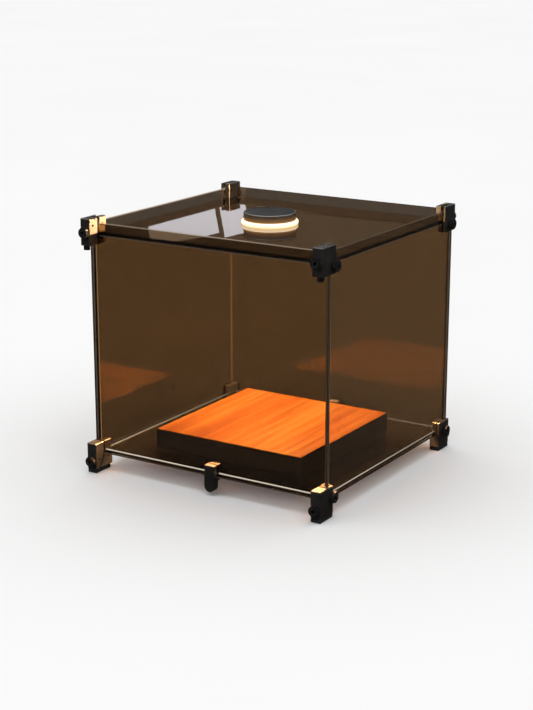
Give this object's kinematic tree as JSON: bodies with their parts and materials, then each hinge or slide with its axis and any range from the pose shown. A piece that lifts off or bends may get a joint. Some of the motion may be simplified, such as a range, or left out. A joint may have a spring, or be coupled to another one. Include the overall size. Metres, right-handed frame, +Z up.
{
  "type": "display case",
  "caption": "Box-shaped acrylic display case held by metal corner blocks with thumb screws, with a puck lamp on its lift-off lid and a wooden plinth inside.",
  "frame": {"origin": "on the ground under the middle of the whole, thumb screws included", "axes": "+X to the case's right, -Y to its front, +Z up"},
  "size_m": [0.315, 0.3096, 0.291],
  "materials": {
    "smoked_acrylic": "polished clear sheet with a brown smoke tint",
    "black_metal": "satin black anodised",
    "knob_metal": "satin black, knurled",
    "dark_steel": "black oxide",
    "foot_rubber": "matte",
    "lamp_shell": "fine matte",
    "lamp_trim": "satin",
    "lamp_glow": "opal, lit from behind",
    "board_white": "solder mask",
    "board_green": "solder mask",
    "led_chip": "phosphor",
    "battery_foil": "foil pouch",
    "switch_plastic": "matte",
    "black_board": "black lacquered board",
    "oiled_wood": "oiled, straight diagonal grain",
    "grey_felt": "felt"
  },
  "bodies": {
    "frame": {"front_wall": "smoked_acrylic", "back_wall": "smoked_acrylic", "left_wall": "smoked_acrylic", "right_wall": "smoked_acrylic", "floor_panel": "smoked_acrylic", "corner_bottom_front_left": "black_metal", "corner_bottom_front_right": "black_metal", "corner_bottom_back_left": "black_metal", "corner_bottom_back_right": "black_metal", "corner_top_front_left": "black_metal", "corner_top_front_right": "black_metal", "corner_top_back_left": "black_metal", "corner_top_back_right": "black_metal", "foot_caps": "foot_rubber", "grub_screws": "dark_steel", "under_screws": "dark_steel", "mid_clamp_front": "black_metal", "mid_clamp_back": "black_metal", "mid_clamp_grubs": "dark_steel"},
    "lid": {"top_panel": "smoked_acrylic"},
    "lamp": {"lamp_housing": "lamp_trim", "lamp_top": "lamp_shell", "lamp_diffuser": "lamp_glow", "lamp_led_board": "board_white", "lamp_leds": "led_chip", "lamp_battery": "battery_foil", "lamp_charge_board": "board_green", "lamp_usb_socket": "lamp_trim", "lamp_switch": "switch_plastic"},
    "lamp_button": {"lamp_button": "switch_plastic"},
    "plinth": {"plinth_core": "black_board", "plinth_top": "oiled_wood", "plinth_pads": "grey_felt"},
    "thumb_front_bottom_left": {"thumb_front_bottom_left": "knob_metal"},
    "thumb_front_bottom_right": {"thumb_front_bottom_right": "knob_metal"},
    "thumb_front_top_left": {"thumb_front_top_left": "knob_metal"},
    "thumb_front_top_right": {"thumb_front_top_right": "knob_metal"},
    "thumb_back_bottom_left": {"thumb_back_bottom_left": "knob_metal"},
    "thumb_back_bottom_right": {"thumb_back_bottom_right": "knob_metal"},
    "thumb_back_top_left": {"thumb_back_top_left": "knob_metal"},
    "thumb_back_top_right": {"thumb_back_top_right": "knob_metal"},
    "thumb_left_bottom_front": {"thumb_left_bottom_front": "knob_metal"},
    "thumb_left_bottom_back": {"thumb_left_bottom_back": "knob_metal"},
    "thumb_left_top_front": {"thumb_left_top_front": "knob_metal"},
    "thumb_left_top_back": {"thumb_left_top_back": "knob_metal"},
    "thumb_right_bottom_front": {"thumb_right_bottom_front": "knob_metal"},
    "thumb_right_bottom_back": {"thumb_right_bottom_back": "knob_metal"},
    "thumb_right_top_front": {"thumb_right_top_front": "knob_metal"},
    "thumb_right_top_back": {"thumb_right_top_back": "knob_metal"}
  },
  "joints": [
    {"name": "lid_lift", "type": "slide", "parent": "frame", "child": "lid", "axis": [0, 0, 1], "range_m": [0, 0.12]},
    {"name": "lamp_lift", "type": "slide", "parent": "lid", "child": "lamp", "axis": [0, 0, 1], "range_m": [0, 0.06]},
    {"name": "lamp_button_press", "type": "slide", "parent": "lamp", "child": "lamp_button", "axis": [0.9063, 0.4226, 0], "range_m": [0, 0.0007], "stiffness_N_per_m": 500},
    {"name": "plinth_lift", "type": "slide", "parent": "frame", "child": "plinth", "axis": [0, 0, 1], "range_m": [0, 0.15]},
    {"name": "thumb_front_bottom_left_turn", "type": "hinge", "parent": "frame", "child": "thumb_front_bottom_left", "pos_m": [-0.146, -0.14975, 0.014], "axis": [0, -1, 0], "range_deg": [0, 720]},
    {"name": "thumb_front_bottom_right_turn", "type": "hinge", "parent": "frame", "child": "thumb_front_bottom_right", "pos_m": [0.146, -0.14975, 0.014], "axis": [0, -1, 0], "range_deg": [0, 720]},
    {"name": "thumb_front_top_left_turn", "type": "hinge", "parent": "frame", "child": "thumb_front_top_left", "pos_m": [-0.146, -0.14975, 0.2758], "axis": [0, -1, 0], "range_deg": [0, 720]},
    {"name": "thumb_front_top_right_turn", "type": "hinge", "parent": "frame", "child": "thumb_front_top_right", "pos_m": [0.146, -0.14975, 0.2758], "axis": [0, -1, 0], "range_deg": [0, 720]},
    {"name": "thumb_back_bottom_left_turn", "type": "hinge", "parent": "frame", "child": "thumb_back_bottom_left", "pos_m": [-0.146, 0.14975, 0.014], "axis": [0, 1, 0], "range_deg": [0, 720]},
    {"name": "thumb_back_bottom_right_turn", "type": "hinge", "parent": "frame", "child": "thumb_back_bottom_right", "pos_m": [0.146, 0.14975, 0.014], "axis": [0, 1, 0], "range_deg": [0, 720]},
    {"name": "thumb_back_top_left_turn", "type": "hinge", "parent": "frame", "child": "thumb_back_top_left", "pos_m": [-0.146, 0.14975, 0.2758], "axis": [0, 1, 0], "range_deg": [0, 720]},
    {"name": "thumb_back_top_right_turn", "type": "hinge", "parent": "frame", "child": "thumb_back_top_right", "pos_m": [0.146, 0.14975, 0.2758], "axis": [0, 1, 0], "range_deg": [0, 720]},
    {"name": "thumb_left_bottom_front_turn", "type": "hinge", "parent": "frame", "child": "thumb_left_bottom_front", "pos_m": [-0.1525, -0.12655, 0.023], "axis": [-1, 0, 0], "range_deg": [0, 720]},
    {"name": "thumb_left_bottom_back_turn", "type": "hinge", "parent": "frame", "child": "thumb_left_bottom_back", "pos_m": [-0.1525, 0.13805, 0.023], "axis": [-1, 0, 0], "range_deg": [0, 720]},
    {"name": "thumb_left_top_front_turn", "type": "hinge", "parent": "frame", "child": "thumb_left_top_front", "pos_m": [-0.1525, -0.12655, 0.2695], "axis": [-1, 0, 0], "range_deg": [0, 720]},
    {"name": "thumb_left_top_back_turn", "type": "hinge", "parent": "frame", "child": "thumb_left_top_back", "pos_m": [-0.1525, 0.13805, 0.2695], "axis": [-1, 0, 0], "range_deg": [0, 720]},
    {"name": "thumb_right_bottom_front_turn", "type": "hinge", "parent": "frame", "child": "thumb_right_bottom_front", "pos_m": [0.1525, -0.12655, 0.023], "axis": [1, 0, 0], "range_deg": [0, 720]},
    {"name": "thumb_right_bottom_back_turn", "type": "hinge", "parent": "frame", "child": "thumb_right_bottom_back", "pos_m": [0.1525, 0.13805, 0.023], "axis": [1, 0, 0], "range_deg": [0, 720]},
    {"name": "thumb_right_top_front_turn", "type": "hinge", "parent": "frame", "child": "thumb_right_top_front", "pos_m": [0.1525, -0.12655, 0.2695], "axis": [1, 0, 0], "range_deg": [0, 720]},
    {"name": "thumb_right_top_back_turn", "type": "hinge", "parent": "frame", "child": "thumb_right_top_back", "pos_m": [0.1525, 0.13805, 0.2695], "axis": [1, 0, 0], "range_deg": [0, 720]}
  ]
}
